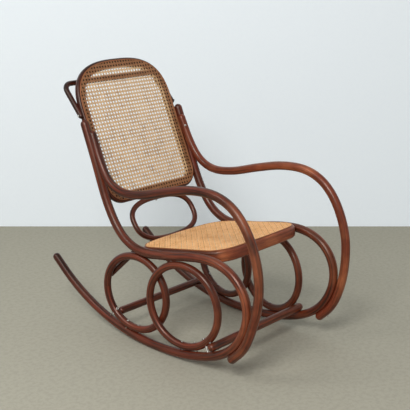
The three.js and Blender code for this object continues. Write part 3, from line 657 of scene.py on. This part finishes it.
def stained_beech(colours):
    """Steam-bent beech, stained red-brown and polished: streaks along the rod, darker where the
    stain lies thick, warmer where hands have thinned it, under a clear satin film. The wear values
    also carry painted light: a painted highlight on the left arm, and painted shade on the head hoop
    and under the cane. Towards the rear the wood is darkened as painted shade. The streaks are about
    6 mm wide, coarser than beech's rays, so that they show from a few metres off."""
    material, tree, shader = new_material("stained_beech")
    grain = add_node(tree, "ShaderNodeAttribute", attribute_name="grain").outputs["Vector"]
    wear_and_painted_light = add_node(tree, "ShaderNodeAttribute", attribute_name="wear_and_painted_light").outputs["Fac"]
    place = add_node(tree, "ShaderNodeTexCoord").outputs["Object"]
    depth = add_node(tree, "ShaderNodeSeparateXYZ", {"Vector": place}).outputs["Y"]
    streak_place = add_node(
        tree, "ShaderNodeMapping", {"Vector": grain, "Scale": per_metre(BEECH_STREAK_MM)})
    streaks = add_node(tree, "ShaderNodeTexNoise", {
        "Vector": streak_place.outputs[0], "Scale": 1, "Detail": 5, "Roughness": 0.6}).outputs["Fac"]
    fleck_place = add_node(
        tree, "ShaderNodeMapping", {"Vector": grain, "Scale": per_metre(BEECH_FLECK_MM)})
    flecks = add_node(tree, "ShaderNodeTexNoise", {
        "Vector": fleck_place.outputs[0], "Scale": 1, "Detail": 2}).outputs["Fac"]
    cloud = add_node(tree, "ShaderNodeTexNoise", {
        "Vector": place, "Scale": per_metre(BEECH_CLOUD_MM), "Detail": 3,
        "Roughness": 0.55}).outputs["Fac"]
    shifted = add_node(
        tree, "ShaderNodeMath", {0: wear_and_painted_light, 1: STREAK_WEAR, 2: streaks}, operation="MULTIPLY_ADD")
    base = add_node(
        tree, "ShaderNodeValToRGB", {"Fac": shifted.outputs[0]},
        stops=zip(STAIN_SPAN, (colours.stain_dark, colours.stain)))
    light = add_node(
        tree, "ShaderNodeValToRGB", {"Fac": streaks},
        stops=zip(WORN_SPAN, (shaded(colours.worn, WORN_SHADE), colours.worn)))
    front = add_node(tree, "ShaderNodeMapRange", {"Value": depth, **FRONT_THINNED})
    patch = add_node(tree, "ShaderNodeMapRange", {"Value": cloud, **PATCH_THINNED})
    thin = add_node(
        tree, "ShaderNodeMath", {0: front.outputs[0], 1: wear_and_painted_light}, operation="ADD", use_clamp=True)
    share = add_node(
        tree, "ShaderNodeMath", {0: thin.outputs[0], 1: patch.outputs[0]},
        operation="MULTIPLY", use_clamp=True)
    warm = add_node(
        tree, "ShaderNodeMix", {0: share.outputs[0], 6: base.outputs[0], 7: light.outputs[0]},
        data_type="RGBA")
    pores = add_node(tree, "ShaderNodeMapRange", {"Value": flecks, **PORE_SHADE})
    # Painted shade, darkening the wood towards the rear
    tail = add_node(tree, "ShaderNodeMapRange", {"Value": depth, **REAR_PAINTED_SHADE})
    dark = add_node(
        tree, "ShaderNodeMath", {0: pores.outputs[0], 1: tail.outputs[0]}, operation="MULTIPLY")
    tint = add_node(
        tree, "ShaderNodeMix", {0: 1.0, 6: warm.outputs[2], 7: dark.outputs[0]},
        data_type="RGBA", blend_type="MULTIPLY")
    gloss = add_node(tree, "ShaderNodeMapRange", {"Value": cloud, **BEECH_GLOSS})
    bump = add_node(
        tree, "ShaderNodeBump", {"Strength": 0.3, "Distance": STREAK_BUMP, "Height": streaks})
    set_inputs(shader, {
        "Base Color": tint.outputs[2], "Roughness": gloss.outputs[0], "Normal": bump.outputs[0],
        "IOR": 1.5, "Specular IOR Level": 0.50, "Specular Tint": SHEEN_TINT,
        "Coat Weight": 0.06, "Coat Roughness": 0.18})
    return material


def split_cane(name, light, dark):
    """Split rattan strands with their glossy bark side out: each strand has its own tone and
    blotches under a soft sheen, and gets painted shade where wood keeps light from its back."""
    material, tree, shader = new_material(name)
    tone = add_node(tree, "ShaderNodeAttribute", attribute_name="tone")
    painted_shade = add_node(tree, "ShaderNodeAttribute", attribute_name="painted_shade")
    place = add_node(tree, "ShaderNodeTexCoord")
    blotch = add_node(tree, "ShaderNodeTexNoise", {
        "Vector": place.outputs["Object"], "Scale": per_metre(CANE_BLOTCH_MM), "Detail": 3})
    mixed = add_node(
        tree, "ShaderNodeMath", {0: tone.outputs["Fac"], 1: 0.5, 2: blotch.outputs["Fac"]},
        operation="MULTIPLY_ADD", use_clamp=True)
    colour = add_node(
        tree, "ShaderNodeValToRGB", {"Fac": mixed.outputs[0]}, stops=zip(CANE_SPAN, (dark, light)))
    # Painted shade: strands darken where wood keeps light from their back
    shade_darkened = add_node(
        tree, "ShaderNodeMix", {0: painted_shade.outputs["Fac"], 6: colour.outputs[0], 7: PAINTED_SHADE_COLOUR},
        data_type="RGBA", blend_type="MULTIPLY")
    set_inputs(shader, {"Base Color": shade_darkened.outputs[2], "Roughness": 0.48, "IOR": 1.45})
    return material


def woven_cane(colours):
    """The back's cane, bleached to a light straw."""
    return split_cane("woven_cane", colours.cane, colours.cane_dark)


def aged_cane(colours):
    """The seat's cane, which use has turned a deeper amber."""
    return split_cane("aged_cane", colours.seat_cane, colours.seat_cane_dark)


def cane_spline(colours):
    """Reed spline pressed round the cane's edge, satin with faint streaks along it."""
    material, tree, shader = new_material("cane_spline")
    grain = add_node(tree, "ShaderNodeAttribute", attribute_name="grain")
    place = add_node(tree, "ShaderNodeMapping", {
        "Vector": grain.outputs["Vector"], "Scale": per_metre(REED_STREAK_MM)})
    streaks = add_node(
        tree, "ShaderNodeTexNoise", {"Vector": place.outputs[0], "Scale": 1, "Detail": 3})
    colour = add_node(
        tree, "ShaderNodeValToRGB", {"Fac": streaks.outputs["Fac"]},
        stops=zip(REED_SPAN, (shaded(colours.edge_cane, REED_SHADE), colours.edge_cane)))
    set_inputs(shader, {"Base Color": colour.outputs[0], "Roughness": 0.45})
    return material


def dull_steel(colours):
    """Turned mild steel, dulled by age: small soft scratches and uneven gloss."""
    material, tree, shader = new_material("dull_steel")
    place = add_node(tree, "ShaderNodeTexCoord")
    scuff = add_node(tree, "ShaderNodeTexNoise", {
        "Vector": place.outputs["Object"], "Scale": per_metre(STEEL_SCUFF_MM), "Detail": 3})
    colour = add_node(
        tree, "ShaderNodeValToRGB", {"Fac": scuff.outputs["Fac"]},
        stops=zip(STEEL_SPAN, (shaded(colours.steel, STEEL_SHADE), colours.steel)))
    gloss = add_node(
        tree, "ShaderNodeMapRange", {"Value": scuff.outputs["Fac"], **STEEL_GLOSS})
    set_inputs(shader, {
        "Base Color": colour.outputs[0], "Roughness": gloss.outputs[0], "Metallic": 1.0})
    return material


def finish(name):
    """The finish of that name, made the first time it is asked for."""
    makers = {
        "stained_beech": stained_beech, "woven_cane": woven_cane, "aged_cane": aged_cane,
        "cane_spline": cane_spline, "dull_steel": dull_steel}
    made = bpy.data.materials.get(name)
    return made or makers[name](bpy.context.scene.chair_colours)


# Pieces

def tapered(points, at, widths):
    """A rod's radius at each point, from its widths at the start, part of the way and the end."""
    return np.interp(np.linspace(0, 1, len(points)), [0, at, 1], widths) / 2


def caned_frame(place, outline, plane, wood, wear_and_painted_light, edge, seeds, sizes, width, weave, **shade):
    """A bent frame, the cane on its outer face and the spline round the cane."""
    wood_seed, cane_seed, reed_seed = seeds
    top = wood[:, 1].max()
    framed_ring(
        f"{place}_bow", outline(), plane, wood, [f"{place}_frame"], finish("stained_beech"),
        wood_seed, wear_and_painted_light)
    cane_panel(
        f"{place}_weave", outline(edge + SPLINE_WIDTH / 2), plane, top + CANE_LIFT,
        [f"{place}_cane"], sizes, width, finish(weave), cane_seed, **shade)
    out = (top - SPLINE_SUNK, top + SPLINE_HEIGHT)
    reed = round_section((0, SPLINE_WIDTH), out, SPLINE_ROUND, 4)
    framed_ring(
        f"{place}_reed", outline(edge), plane, reed, [f"{place}_spline"], finish("cane_spline"),
        reed_seed)


def ring_facts(node, rod_d):
    """Centre and radius of a ring's centreline, from the height of its node's box."""
    low, high = (np.array(v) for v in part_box(node))
    centre = (low + high) / 2
    return centre, (high[2] - low[2]) / 2 - rod_d / 2


def ring_axes(sizes, side):
    """The direction towards the back in the rings' plane, and the direction out of it. The rings
    are turned so that their lapping parts pass side by side."""
    front, _ = ring_facts("front_ring_left", sizes.front_ring_d)
    rear, _ = ring_facts("rear_ring_left", sizes.rear_ring_d)
    turn = math.asin(((sizes.front_ring_d + sizes.rear_ring_d) / 2 + GAP) / (rear[1] - front[1]))
    back = np.array([side * math.sin(turn), math.cos(turn), 0])
    return back, side * np.cross(back, UPWARD)


class CHAIR_OT_side_rails(bpy.types.Operator):
    """Makes the two side rails, each a bent rod from post top to runner tail"""

    bl_idname = "chair.side_rails"
    bl_label = "Side Rails"

    def execute(self, context):
        sizes = context.scene.chair_sizes
        for hand, side in HANDS.items():
            points = rail_line(side)
            radii = tapered(points, RAIL_TAPER_SHARE, [sizes.rail_d, sizes.rail_d, sizes.tail_d])
            rod_piece(
                f"rail_{hand}", points, radii, ACROSS, [f"side_rail_{hand}"], seed=0.31 * side)
        return {"FINISHED"}


class CHAIR_OT_arms(bpy.types.Operator):
    """Makes the two scrolled arms, thinner where they meet the posts"""

    bl_idname = "chair.arms"
    bl_label = "Arms"

    def execute(self, context):
        sizes = context.scene.chair_sizes
        for hand, side in HANDS.items():
            points = arm_line(side, sizes)
            radii = tapered(points, ARM_TAPER_SHARE, [sizes.arm_top_d, sizes.arm_d, sizes.arm_d])
            # The left arm's wear value is partly a painted highlight
            rod_piece(
                f"scroll_arm_{hand}", points, radii, ACROSS, [f"arm_{hand}"],
                seed=1.7 + 0.23 * side, wear_and_painted_light=ARM_WEAR_AND_HIGHLIGHT[hand])
        return {"FINISHED"}


class CHAIR_OT_rings(bpy.types.Operator):
    """Makes the four rings and the two braces across the rear rings"""

    bl_idname = "chair.rings"
    bl_label = "Rings and Braces"

    def execute(self, context):
        sizes = context.scene.chair_sizes
        turn = np.arange(RING_STEPS) * 2 * math.pi / RING_STEPS
        for hand, side in HANDS.items():
            back, out = ring_axes(sizes, side)
            for place, rod_d in (("front", sizes.front_ring_d), ("rear", sizes.rear_ring_d)):
                centre, radius = ring_facts(f"{place}_ring_{hand}", rod_d)
                circle = np.cos(turn)[:, None] * back + np.sin(turn)[:, None] * UPWARD
                rod_piece(
                    f"{place}_hoop_ring_{hand}", centre + radius * circle, rod_d / 2, out,
                    [f"{place}_ring_{hand}"], closed=True, seed=3.1 + 0.4 * side)
            centre, radius = ring_facts(f"rear_ring_{hand}", sizes.rear_ring_d)
            inward = (sizes.rear_ring_d + sizes.brace_d) / 2 + GAP
            low, high = (
                centre + radius * (a * back + b * UPWARD) - inward * out for a, b in BRACE_SHARE)
            line = even_steps(np.array([low, high]), BRACE_STEP)
            rod_piece(
                f"brace_{hand}", line, sizes.brace_d / 2, out, [f"ring_brace_{hand}"],
                seed=5.3 + side)
        return {"FINISHED"}


class CHAIR_OT_stretchers(bpy.types.Operator):
    """Makes the front and rear stretchers between the sides"""

    bl_idname = "chair.stretchers"
    bl_label = "Stretchers"

    def execute(self, context):
        sizes = context.scene.chair_sizes
        rods = {"front": sizes.front_stretcher_d, "rear": sizes.rear_stretcher_d}
        for place, rod_d in rods.items():
            low, high = (np.array(v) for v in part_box(f"{place}_stretcher"))
            centre = (low + high) / 2
            half = (high[0] - low[0]) / 2
            ends = np.array([centre - half * ACROSS, centre + half * ACROSS])
            rod_piece(
                f"{place}_cross_rod", even_steps(ends, CROSS_STEP), rod_d / 2, UPWARD,
                [f"{place}_stretcher"], seed=7.7 + len(place))
        return {"FINISHED"}


class CHAIR_OT_back(bpy.types.Operator):
    """Makes the back's bent frame, its cane and its spline"""

    bl_idname = "chair.back"
    bl_label = "Back"

    def execute(self, context):
        sizes = context.scene.chair_sizes
        wood = round_section((0, BACK_FRAME_WIDTH), (-BACK_FRAME_DEPTH, 0), FRAME_ROUND)
        # The wood under the cane is darkened: untouched stain and painted shade
        covered = (wood[:, 0] > BACK_CANE_EDGE) & (wood[:, 1] > -BACK_COVERED_DEPTH)
        wear_and_painted_light = np.tile(np.where(covered, COVERED_STAIN_AND_SHADE, BACK_FRAME_WEAR), len(back_outline()))
        # The cane gets painted shade over the frame's edge and in a band in front of the head hoop's
        # bar
        caned_frame(
            "back", back_outline, back_plane(), wood, wear_and_painted_light, BACK_CANE_EDGE, (9.1, 3, 0.4), sizes,
            sizes.strand_width, "woven_cane",
            wood_reach=BACK_FRAME_WIDTH - BACK_CANE_EDGE - SPLINE_WIDTH / 2,
            bar=(HOOP_BAR_HEIGHT - HOOP_SHADE_BAND_DROP, sizes.hoop_d / 2))
        return {"FINISHED"}


class CHAIR_OT_seat(bpy.types.Operator):
    """Makes the seat's bent frame, its cane and its spline"""

    bl_idname = "chair.seat"
    bl_label = "Seat"

    def execute(self, context):
        sizes = context.scene.chair_sizes
        half = SEAT_FRAME_HEIGHT / 2
        wood = round_section((0, SEAT_FRAME_WIDTH), (-half, half), FRAME_ROUND)
        front = np.clip((-SEAT_WORN_REACH - seat_outline()[:, 1]) / SEAT_WORN_FADE, 0, 1)
        wear_and_painted_light = np.repeat(SEAT_FRAME_WEAR * front, len(wood))
        caned_frame(
            "seat", seat_outline, seat_plane(), wood, wear_and_painted_light, SEAT_CANE_EDGE, (11.3, 8, 0.9), sizes,
            sizes.seat_strand_width, "aged_cane")
        return {"FINISHED"}


class CHAIR_OT_thin_rods(bpy.types.Operator):
    """Makes the lumbar loop and the head hoop"""

    bl_idname = "chair.thin_rods"
    bl_label = "Loop and Hoop"

    def execute(self, context):
        sizes = context.scene.chair_sizes
        seat, back = seat_plane(), back_plane()
        foot = in_plane(seat, 0, SEAT_REAR_REACH + sizes.loop_d / 2 + GAP, LOOP_FOOT_RISE)
        head = in_plane(back, 0, -sizes.loop_d / 2 - GAP, -LOOP_HEAD_SHARE * BACK_FRAME_DEPTH)
        oval = corner_arc((0, 0), (1, 1), LOOP_EXPONENT, 0, 2 * math.pi, LOOP_STEPS)
        wide, tall = LOOP_HALF_WIDTH * ACROSS, (head - foot) / 2
        line = (foot + head) / 2 + oval[:, :1] * wide + oval[:, 1:] * tall
        line = even_steps(line, THIN_STEP)[:-1]
        rod_piece(
            "lumbar_oval", line, sizes.loop_d / 2, np.cross(ACROSS, head - foot), ["lumbar_loop"],
            closed=True, seed=13.2)
        half = back_half() + sizes.hoop_d / 2 - HOOP_INLET
        post_foot, post_top = post_ends()
        end_height = np.linalg.norm(post_top - post_foot) - BACK_RISE + HOOP_END_RISE
        rise, depth = HOOP_BAR_HEIGHT - end_height, HOOP_BAR_DEPTH - HOOP_END_DEPTH
        leg = math.hypot(rise, depth)
        bend = corner_arc(
            (half - HOOP_BEND, leg - HOOP_BEND), (HOOP_BEND, HOOP_BEND), HOOP_BEND_EXPONENT,
            0, math.pi / 2, HOOP_BEND_STEPS)
        flat = np.vstack([[(half, 0)], bend])
        flat = np.vstack([flat, flat[::-1] * [-1, 1]])
        share = flat[:, 1] / leg
        line = in_plane(
            back, flat[:, 0], end_height + share * rise, -(HOOP_END_DEPTH + share * depth))
        line = even_steps(line, THIN_STEP)
        leg_way = rise * back[2] - depth * back[3]
        # The head hoop's wood is darkened as painted shade, as if in the shadow behind the cane
        rod_piece(
            "head_bow", line, sizes.hoop_d / 2, np.cross(ACROSS, leg_way), ["head_hoop"],
            seed=15.9, wear_and_painted_light=HOOP_PAINTED_SHADE)
        return {"FINISHED"}


def screw_facts(node):
    """The top of a screw's head, the direction out of it, the screw's length and its head's radius:
    the axis is the longest way through the node's points, and the head is the wider end."""
    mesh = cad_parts[node].data
    points = np.empty(len(mesh.vertices) * 3)
    mesh.vertices.foreach_get("co", points)
    points = points.reshape(-1, 3)
    centre = points.mean(0)
    axis = np.linalg.svd(points - centre, full_matrices=False)[2][0]
    along = (points - centre) @ axis
    spread = np.linalg.norm(points - centre - along[:, None] * axis, axis=1)
    if spread[along > 0].max() < spread[along < 0].max():
        axis, along = -axis, -along
    return points[np.argmax(along)], axis, along.max() - along.min(), spread.max()


def screw_profile(length, head_r):
    """Half outline of a round-headed screw: point, shank, head's underside and dome."""
    shank_r, head_h = SHANK_SHARE * head_r, HEAD_SHARE * head_r
    turn = np.linspace(0, math.pi / 2, DOME_STEPS)[:-1]
    dome = head_r * np.column_stack([np.cos(turn), DOME_SHARE * (np.sin(turn) - 1)])
    shank = [(SCREW_POINT, -length), (shank_r, shank_r - length), (shank_r, -head_h)]
    return np.vstack([shank, [(head_r, -head_h)], dome, [(SCREW_POINT, 0)]])


class CHAIR_OT_screws(bpy.types.Operator):
    """Makes every steel screw and bolt from its node, round-headed with a slot"""

    bl_idname = "chair.screws"
    bl_label = "Screws and Bolts"

    def execute(self, context):
        steel = finish("dull_steel")
        names = sorted(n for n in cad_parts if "screw" in n or "bolt" in n)
        turn = np.arange(SCREW_SIDES) * 2 * math.pi / SCREW_SIDES
        circle = np.stack([np.cos(turn), np.sin(turn)], -1)
        for index, node in enumerate(names):
            top, axis, length, head_r = screw_facts(node)
            side = unit(np.cross(axis, OFF_AXIS))
            other = np.cross(axis, side)
            c, s = math.cos(index), math.sin(index)
            side, other = side * c + other * s, other * c - side * s
            profile = screw_profile(length, head_r)
            local = profile[:, None, :1] * circle
            slot = np.abs(local[..., 1]) < SLOT_WIDTH_SHARE * head_r
            slot &= profile[:, 1:] > -SLOT_REACH_SHARE * head_r
            height = profile[:, 1:] - slot * SLOT_DEPTH_SHARE * head_r
            vertices = top + local @ [side, other] + height[..., None] * axis
            count = len(profile) * SCREW_SIDES
            faces = grid_faces(len(profile), SCREW_SIDES, False).tolist()
            faces += [list(range(SCREW_SIDES))[::-1], list(range(count - SCREW_SIDES, count))]
            finish_piece(
                f"{node}_turned", vertices, faces, [node], steel, smooth=False)
        return {"FINISHED"}


def stage_material(name, colour, speckle, glow=0.0):
    """Matt paint or stone with faint speckles. With a glow, which only the camera sees, it stays
    pale and is clear from behind, so that views from the back look through it."""
    material, tree, shader = new_material(name)
    place = add_node(tree, "ShaderNodeTexCoord")
    spots = add_node(tree, "ShaderNodeTexNoise", {
        "Vector": place.outputs["Object"], "Scale": per_metre(STAGE_SPOT_MM), "Detail": 4,
        "Roughness": 0.7})
    paint = add_node(
        tree, "ShaderNodeValToRGB", {"Fac": spots.outputs["Fac"]},
        stops=zip(STAGE_SPAN, (shaded(colour, 1 - speckle), colour)))
    set_inputs(shader, {"Base Color": paint.outputs[0], "Roughness": 0.85})
    if glow:
        seen = add_node(tree, "ShaderNodeLightPath").outputs["Is Camera Ray"]
        strength = add_node(tree, "ShaderNodeMath", {0: seen, 1: glow}, operation="MULTIPLY")
        set_inputs(shader, {
            "Emission Strength": strength.outputs[0], "Emission Color": (*colour, 1)})
        behind = add_node(tree, "ShaderNodeNewGeometry").outputs["Backfacing"]
        hidden = add_node(tree, "ShaderNodeMath", {0: behind, 1: seen}, operation="MULTIPLY")
        clear = add_node(tree, "ShaderNodeBsdfTransparent")
        surface = add_node(tree, "ShaderNodeMixShader", {
            0: hidden.outputs[0], 1: shader.outputs[0], 2: clear.outputs[0]})
        set_inputs(tree.nodes["Material Output"], {"Surface": surface.outputs[0]})
    return material


def stage_plane(name, foot, reach, material):
    """A flat sheet of the stage, from both ends of a foot line along a reach."""
    mesh = bpy.data.meshes.new(name)
    mesh.from_pydata([*foot, foot[1] + reach, foot[0] + reach], [], [(0, 1, 2, 3)])
    mesh.materials.append(material)
    plane = linked_object(name, mesh)


def area_lamp(name, place, target, size, power):
    """A square lamp that faces its target."""
    lamp = bpy.data.lights.new(name, "AREA")
    lamp.shape, lamp.size, lamp.energy = "SQUARE", size, power
    way = (Vector(target) - Vector(place)).to_track_quat("-Z", "Y")
    linked_object(name, lamp, place, way.to_euler())


class CHAIR_OT_studio(bpy.types.Operator):
    """Makes the floor, wall, soft lamps and the photograph's camera"""

    bl_idname = "chair.studio"
    bl_label = "Studio"

    def execute(self, context):
        scene, colours = context.scene, context.scene.chair_colours
        heading, tilt = math.radians(CAMERA_AZIMUTH), math.radians(90 - CAMERA_ELEVATION)
        away = Vector((math.sin(heading), math.cos(heading), 0))
        beside = STAGE_HALF_WIDTH * Vector((away.y, -away.x, 0))
        wall_foot = [away * WALL_DISTANCE - beside, away * WALL_DISTANCE + beside]
        floor_foot = [end - away * FLOOR_NEAR for end in wall_foot]
        stage_plane(
            "floor", floor_foot, away * (FLOOR_NEAR + FLOOR_BEHIND),
            stage_material("pale_floor", colours.floor, FLOOR_SPECKLE))
        stage_plane(
            "wall", wall_foot, Vector((0, 0, WALL_HEIGHT)),
            stage_material("pale_wall", colours.wall, WALL_SPECKLE, WALL_GLOW))
        for name, settings in LAMPS.items():
            area_lamp(name, *settings)
        world = bpy.data.worlds.new("soft_room")
        scene.world = world
        world.use_nodes = True
        background = world.node_tree.nodes["Background"]
        set_inputs(background, {"Color": WORLD_LIGHT, "Strength": WORLD_STRENGTH})
        camera = bpy.data.cameras.new("photo_camera")
        camera.sensor_width = SENSOR_MM
        camera.lens = FOCAL_PIXELS / PICTURE_PIXELS * SENSOR_MM
        scene.camera = linked_object("photo_camera", camera, CAMERA_PLACE, (tilt, 0, -heading))
        scene.view_settings.view_transform = "Standard"
        return {"FINISHED"}


class CHAIR_PT_panel(bpy.types.Panel):
    """Lists the chair's sizes, colours and pieces"""

    bl_idname = "CHAIR_PT_panel"
    bl_label = "Bentwood Rocking Chair"
    bl_space_type = "VIEW_3D"
    bl_region_type = "UI"
    bl_category = "Rocking Chair"

    def draw(self, context):
        for group in (context.scene.chair_sizes, context.scene.chair_colours):
            for name in group.bl_rna.properties.keys():
                if name not in {"rna_type", "name"}:
                    self.layout.prop(group, name)
        for operator in OPERATORS:
            self.layout.operator(operator.bl_idname)


OPERATORS = (
    CHAIR_OT_side_rails, CHAIR_OT_arms, CHAIR_OT_rings, CHAIR_OT_stretchers, CHAIR_OT_back,
    CHAIR_OT_seat, CHAIR_OT_thin_rods, CHAIR_OT_screws, CHAIR_OT_studio)
CLASSES = (ChairSizes, ChairColours, *OPERATORS, CHAIR_PT_panel)


def register():
    for cls in CLASSES:
        bpy.utils.register_class(cls)
    bpy.types.Scene.chair_sizes = PointerProperty(type=ChairSizes)
    bpy.types.Scene.chair_colours = PointerProperty(type=ChairColours)


def unregister():
    del bpy.types.Scene.chair_colours
    del bpy.types.Scene.chair_sizes
    for cls in reversed(CLASSES):
        bpy.utils.unregister_class(cls)


def main():
    register()
    bpy.ops.chair.side_rails()
    bpy.ops.chair.arms()
    bpy.ops.chair.rings()
    bpy.ops.chair.stretchers()
    bpy.ops.chair.back()
    bpy.ops.chair.seat()
    bpy.ops.chair.thin_rods()
    bpy.ops.chair.screws()
    bpy.ops.chair.studio()


if __name__ == "__main__":
    main()
